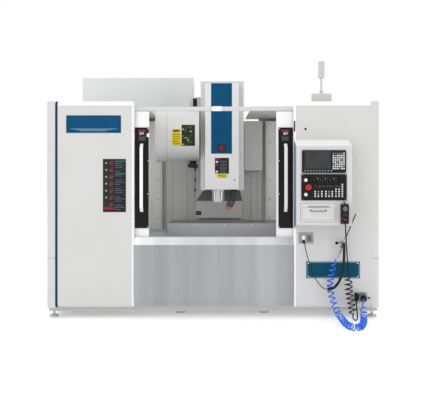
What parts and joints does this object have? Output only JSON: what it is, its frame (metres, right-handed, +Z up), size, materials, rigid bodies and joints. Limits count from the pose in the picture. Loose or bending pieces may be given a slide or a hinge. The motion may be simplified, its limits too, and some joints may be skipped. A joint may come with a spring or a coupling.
{
  "type": "cnc machining center",
  "caption": "Vertical machining centre with sliding doors, slotted table, moving head with spindle, tool changer, rear cabinet and operator console.",
  "frame": {"origin": "on the floor, under the middle of the machine's bounding box", "axes": "+X to the operator's right, -Y towards the operator at the front, +Z up"},
  "size_m": [3.2, 2.9683, 2.54],
  "materials": {
    "casting_paint": "satin paint",
    "zinc_steel": "satin",
    "white_paint": "fine textured powder coat",
    "grey_paint": "satin",
    "blue_paint": "gloss",
    "stainless": "brushed",
    "dark_metal": "satin",
    "ground_iron": "ground",
    "window": "tinted",
    "black_plastic": "matt",
    "red_plastic": "gloss",
    "lamp_plastic": "gloss",
    "blue_plastic": "gloss",
    "black_rubber": "matt"
  },
  "bodies": {
    "machine_frame": {"machine_bed": "casting_paint", "levelling_feet": "zinc_steel", "column": "casting_paint", "yz_axis_drives": "zinc_steel", "coolant_tank": "grey_paint", "enclosure_frame": "white_paint", "left_panel": "white_paint", "accent_strip": "blue_paint", "outer_panels": "white_paint", "right_panel": "white_paint", "apron": "stainless", "inner_guards": "stainless", "column_cover": "grey_paint", "magazine_cover": "white_paint", "tool_changer_box": "casting_paint", "cabinet": "white_paint", "console": "white_paint", "display_unit": "black_plastic", "operator_panel": "black_plastic", "pendant_housing": "black_plastic", "air_gun": "dark_metal", "signal_lamp": "lamp_plastic", "wall_fittings": "blue_paint", "air_lead": "blue_plastic", "air_coil": "blue_plastic", "pendant_lead": "black_rubber", "pendant_coil": "black_rubber", "service_cord": "black_rubber"},
    "left_door_body": {"left_door": "white_paint", "left_window": "window", "left_handle": "white_paint"},
    "right_door_body": {"right_door": "white_paint", "right_window": "window", "right_handle": "white_paint"},
    "saddle_body": {"saddle": "casting_paint", "x_axis_drive": "zinc_steel"},
    "table_body": {"table": "ground_iron"},
    "head_body": {"head_casting": "casting_paint", "head_cover": "grey_paint", "head_front_cover": "white_paint", "spindle_cartridge": "zinc_steel", "coolant_nozzles": "black_plastic"},
    "spindle_body": {"spindle_shaft": "zinc_steel"},
    "magazine_body": {"magazine_disc": "dark_metal"},
    "arm_body": {"tool_change_arm": "dark_metal"},
    "x_screw_body": {"x_ballscrew": "zinc_steel"},
    "y_screw_body": {"y_ballscrew": "zinc_steel"},
    "z_screw_body": {"z_ballscrew": "zinc_steel"},
    "cabinet_door_body": {"cabinet_door": "white_paint"},
    "estop_body": {"estop_button": "red_plastic"},
    "start_body": {"start_button": "lamp_plastic"},
    "stop_body": {"stop_button": "lamp_plastic"},
    "mode_knob_body": {"mode_knob": "black_plastic"},
    "feed_knob_body": {"feed_knob": "black_plastic"},
    "spindle_knob_body": {"spindle_knob": "black_plastic"},
    "drawer_body": {"console_drawer": "white_paint"},
    "dial_body": {"handwheel_dial": "black_plastic"},
    "axis_selector_body": {"axis_selector": "black_plastic"},
    "step_selector_body": {"step_selector": "black_plastic"},
    "trigger_body": {"gun_trigger": "dark_metal"}
  },
  "joints": [
    {"name": "left_door_slide", "type": "slide", "parent": "machine_frame", "child": "left_door_body", "axis": [1, 0, 0], "range_m": [0, 0.62]},
    {"name": "right_door_slide", "type": "slide", "parent": "machine_frame", "child": "right_door_body", "axis": [1, 0, 0], "range_m": [-0.61, 0]},
    {"name": "saddle_slide", "type": "slide", "parent": "machine_frame", "child": "saddle_body", "axis": [0, 1, 0], "range_m": [-0.32, 0.28]},
    {"name": "table_slide", "type": "slide", "parent": "saddle_body", "child": "table_body", "axis": [1, 0, 0], "range_m": [-0.632, 0.468]},
    {"name": "head_slide", "type": "slide", "parent": "machine_frame", "child": "head_body", "axis": [0, 0, 1], "range_m": [-0.094, 0.506]},
    {"name": "spindle_spin", "type": "hinge", "parent": "head_body", "child": "spindle_body", "pos_m": [0.055, -0.17, 1.3], "axis": [0, 0, 1], "continuous": true},
    {"name": "magazine_turn", "type": "hinge", "parent": "machine_frame", "child": "magazine_body", "pos_m": [-0.43, -0.17, 1.823], "axis": [1, 0, 0], "continuous": true},
    {"name": "arm_swing", "type": "hinge", "parent": "machine_frame", "child": "arm_body", "pos_m": [-0.216, -0.17, 1.5], "axis": [0, 0, 1], "range_deg": [-7, 7]},
    {"name": "x_screw_turn", "type": "hinge", "parent": "saddle_body", "child": "x_screw_body", "pos_m": [0.055, -0.15, 0.75], "axis": [1, 0, 0], "range_deg": [-14400, 10800]},
    {"name": "y_screw_turn", "type": "hinge", "parent": "machine_frame", "child": "y_screw_body", "pos_m": [0.094, -0.17, 0.53], "axis": [0, 1, 0], "range_deg": [-7380, 6480]},
    {"name": "z_screw_turn", "type": "hinge", "parent": "machine_frame", "child": "z_screw_body", "pos_m": [0.094, 0.478, 1.7], "axis": [0, 0, 1], "range_deg": [-2340, 11520]},
    {"name": "cabinet_door_swing", "type": "hinge", "parent": "machine_frame", "child": "cabinet_door_body", "pos_m": [-1.55, 1.3263, 1.3], "axis": [0, 0, 1], "range_deg": [0, 108]},
    {"name": "estop_press", "type": "slide", "parent": "machine_frame", "child": "estop_body", "axis": [0, 1, 0], "range_m": [0, 0.008]},
    {"name": "start_press", "type": "slide", "parent": "machine_frame", "child": "start_body", "axis": [0, 1, 0], "range_m": [0, 0.0035], "stiffness_N_per_m": 500},
    {"name": "stop_press", "type": "slide", "parent": "machine_frame", "child": "stop_body", "axis": [0, 1, 0], "range_m": [0, 0.0035], "stiffness_N_per_m": 500},
    {"name": "mode_knob_turn", "type": "hinge", "parent": "machine_frame", "child": "mode_knob_body", "pos_m": [0.97, -1.26, 1.334], "axis": [0, 1, 0], "range_deg": [-135, 135]},
    {"name": "feed_knob_turn", "type": "hinge", "parent": "machine_frame", "child": "feed_knob_body", "pos_m": [1.04, -1.26, 1.334], "axis": [0, 1, 0], "range_deg": [-135, 135]},
    {"name": "spindle_knob_turn", "type": "hinge", "parent": "machine_frame", "child": "spindle_knob_body", "pos_m": [1.119, -1.26, 1.334], "axis": [0, 1, 0], "range_deg": [-135, 135]},
    {"name": "drawer_slide", "type": "slide", "parent": "machine_frame", "child": "drawer_body", "axis": [0, -1, 0], "range_m": [0, 0.15]},
    {"name": "dial_turn", "type": "hinge", "parent": "machine_frame", "child": "dial_body", "pos_m": [1.217, -1.308, 1.069], "axis": [0, 1, 0], "continuous": true},
    {"name": "axis_selector_turn", "type": "hinge", "parent": "machine_frame", "child": "axis_selector_body", "pos_m": [1.217, -1.308, 1.002], "axis": [0, 1, 0], "range_deg": [-60, 60]},
    {"name": "step_selector_turn", "type": "hinge", "parent": "machine_frame", "child": "step_selector_body", "pos_m": [1.217, -1.308, 0.96], "axis": [0, 1, 0], "range_deg": [-60, 60]},
    {"name": "trigger_squeeze", "type": "hinge", "parent": "machine_frame", "child": "trigger_body", "pos_m": [1.2727, -1.125, 0.7826], "axis": [0, 1, 0], "range_deg": [0, 4], "stiffness_Nm_per_rad": 3}
  ],
  "couplings": [
    {"joint": "x_screw_turn", "follows": "table_slide", "rad_per_m": 392.7},
    {"joint": "y_screw_turn", "follows": "saddle_slide", "rad_per_m": 392.7},
    {"joint": "z_screw_turn", "follows": "head_slide", "rad_per_m": 392.7}
  ]
}
